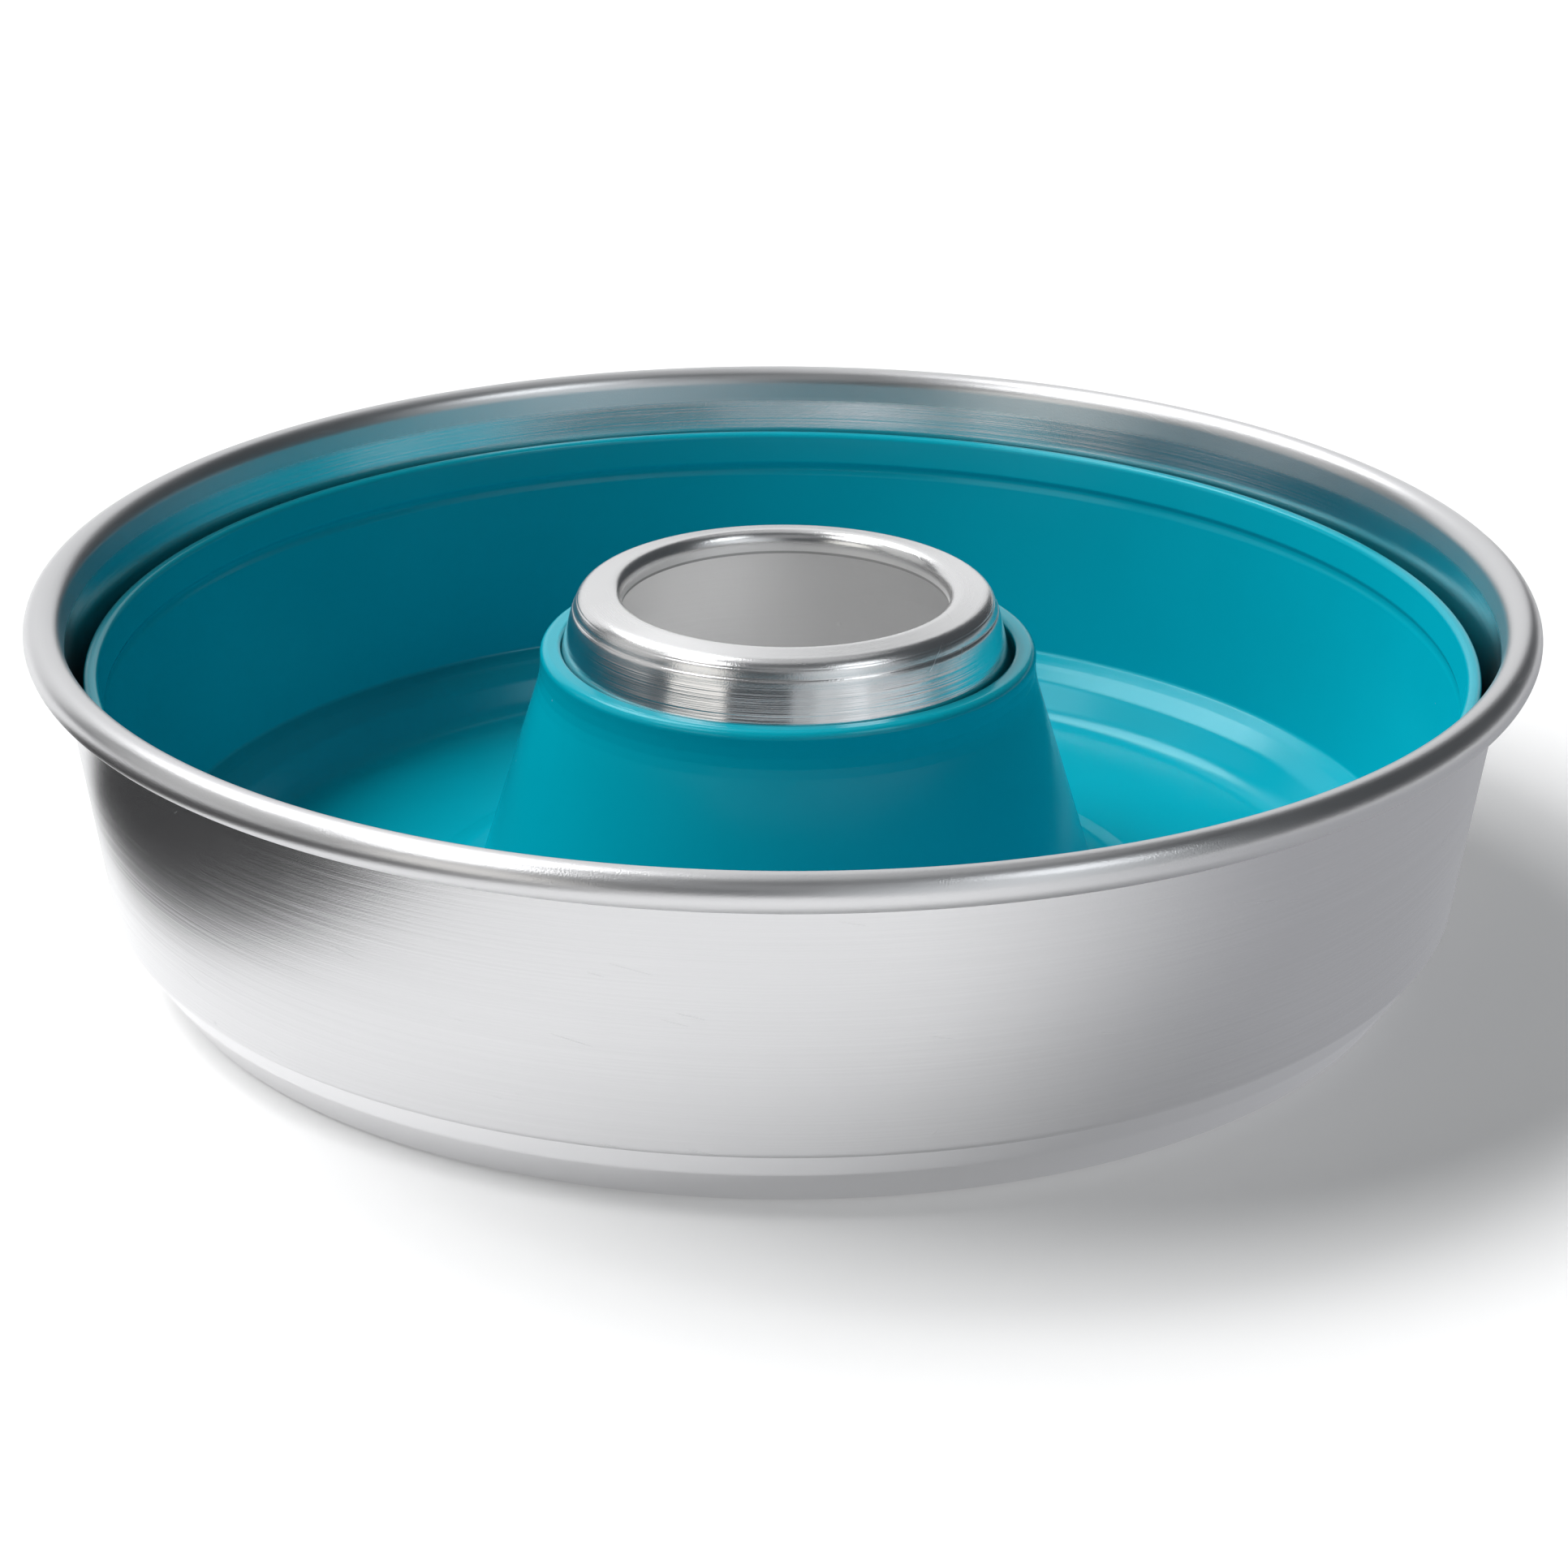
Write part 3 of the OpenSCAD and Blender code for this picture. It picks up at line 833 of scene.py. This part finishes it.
class CAKEPAN_OT_stage(bpy.types.Operator):
    """Lay the pale floor, hang the lamps and place the camera"""
    bl_idname = "cakepan.stage"
    bl_label = "Stage"

    def execute(self, context):
        scene = context.scene
        studio = scene.cakepan_studio
        low, far = -FLOOR_DROP, FLOOR_REACH
        flat_card("floor", [(-far, -far, low), (far, -far, low), (far, far, low),
                            (-far, far, low)], plain_paper(studio))
        # Two flags, seen only in the metal, paint reflections of shade: a dark patch in the pan's
        # left side and a faintly glowing grey shade in its right side
        reach = FLAG_REACH
        side = (reach, -reach, 0), (reach, reach, 0), (0, reach, 0), (0, -reach, 0)
        right_shade_flag = flat_card("right_shade_flag", side, right_shade_reflection_card())
        left_shadow_flag = flat_card("left_shadow_flag", [(-x, y, 0) for x, y, _ in side], left_shadow_reflection_card())
        for flag in (left_shadow_flag, right_shade_flag):
            flag.location.z = FLAG_RISE
            only_in_the_metal(flag)
        world = bpy.data.worlds.new("studio")
        world.use_nodes = True
        back = world.node_tree.nodes["Background"]
        back.inputs["Color"].default_value = (0.86, 0.93, 1.0, 1.0)
        back.inputs["Strength"].default_value = studio.world
        scene.world = world
        soft_lamp("key_lamp", -133, 56, 28, studio.key)
        soft_lamp("front_lamp", 42, 22, 34, 0.30, COOL)
        soft_lamp("front_halo", 40, 22, 54, 0.26, COOL)
        soft_lamp("front_fill", 23, 14, 40, 0.34, COOL)
        soft_lamp("side_lamp", -46, 13, 32, 1.12, WARM)
        soft_lamp("back_lamp", -164, 14, 72, 0.80)
        soft_lamp("side_key", -92, 52, 34, studio.side_key).visible_glossy = False
        for lamp in (soft_lamp("left_card", -65, 53, 25, 3.4),
                     soft_lamp("low_card", -92, 22, 46, 0.50, FAINTLY_WARM),
                     soft_lamp("top_card", -170, 69, 44, 0.42),
                     soft_lamp("front_card", 0, 48, 34, 0.22),
                     soft_lamp("spot_card", 52, 49, 22, 2.4, COOL)):
            only_in_the_metal(lamp)
        data = bpy.data.cameras.new("camera")
        data.sensor_width = 36.0
        data.lens = studio.focal_px / studio.photo_px * data.sensor_width
        data.clip_start, data.clip_end = 0.01, 100
        camera = bpy.data.objects.new("camera", data)
        scene.collection.objects.link(camera)
        camera.matrix_world = (
            Matrix.Translation((0, -studio.camera_back, studio.camera_up))
            @ Matrix.Rotation(-studio.camera_yaw, 4, "Z")
            @ Matrix.Rotation(math.pi / 2 - studio.camera_tilt, 4, "X")
            @ Matrix.Rotation(studio.camera_roll, 4, "Z"))
        scene.camera = camera
        scene.view_settings.view_transform = "Standard"
        return {"FINISHED"}


class CAKEPAN_OT_pan_body(bpy.types.Operator):
    """Spin the pan: floor, stepped edge, leaning wall and rolled rim in one sheet"""
    bl_idname = "cakepan.pan_body"
    bl_label = "Pan body"

    def execute(self, context):
        fit = Fit(context.scene)
        finish = pan_aluminium(context.scene.cakepan_finishes, fit)
        turned("spun_pan", fit.pan_outline(), "pan", "pan_body", finish,
               spun_true)
        return {"FINISHED"}


class CAKEPAN_OT_centre_tube(bpy.types.Operator):
    """Form the centre tube with its top face, lip, clinch bead and foot flange"""
    bl_idname = "cakepan.centre_tube"
    bl_label = "Centre tube"

    def execute(self, context):
        fit = Fit(context.scene)
        finish = tube_aluminium(context.scene.cakepan_finishes, fit)
        turned("drawn_tube", fit.tube_outline(), "pan", "centre_tube", finish,
               leaning)
        return {"FINISHED"}


class CAKEPAN_OT_silicone_liner(bpy.types.Operator):
    """Mould the liner and settle it into the pan"""
    bl_idname = "cakepan.silicone_liner"
    bl_label = "Silicone liner"

    def execute(self, context):
        fit = Fit(context.scene)
        finish = teal_silicone(context.scene.cakepan_finishes, fit)
        turned("moulded_liner", fit.liner_outline(), "liner", "silicone_liner",
               finish, settled)
        return {"FINISHED"}


class CAKEPAN_PT_panel(bpy.types.Panel):
    """The cake pan's pieces and settings"""
    bl_idname = "CAKEPAN_PT_panel"
    bl_label = "Cake Pan"
    bl_space_type = "VIEW_3D"
    bl_region_type = "UI"
    bl_category = "Cake Pan"

    def draw(self, context):
        layout = self.layout
        for operator in OPERATORS:
            layout.operator(operator.bl_idname)
        for group in GROUPS:
            settings = getattr(context.scene, group)
            box = layout.box()
            box.label(text=group.replace("cakepan_", "").capitalize())
            for prop in settings.bl_rna.properties:
                if prop.identifier not in ("rna_type", "name"):
                    box.prop(settings, prop.identifier)


OPERATORS = (CAKEPAN_OT_pan_body, CAKEPAN_OT_centre_tube, CAKEPAN_OT_silicone_liner,
             CAKEPAN_OT_stage)
GROUPS = {"cakepan_pan": PanSizes, "cakepan_tube": TubeSizes, "cakepan_liner": LinerSizes,
          "cakepan_finishes": Finishes, "cakepan_studio": Studio}
CLASSES = (*GROUPS.values(), *OPERATORS, CAKEPAN_PT_panel)


def register():
    for cls in CLASSES:
        bpy.utils.register_class(cls)
    for name, group in GROUPS.items():
        setattr(bpy.types.Scene, name, bpy.props.PointerProperty(type=group))


def unregister():
    for name in GROUPS:
        delattr(bpy.types.Scene, name)
    for cls in reversed(CLASSES):
        bpy.utils.unregister_class(cls)


def main():
    register()
    bpy.ops.cakepan.stage()
    bpy.ops.cakepan.pan_body()
    bpy.ops.cakepan.centre_tube()
    bpy.ops.cakepan.silicone_liner()


if __name__ == "__main__":
    main()
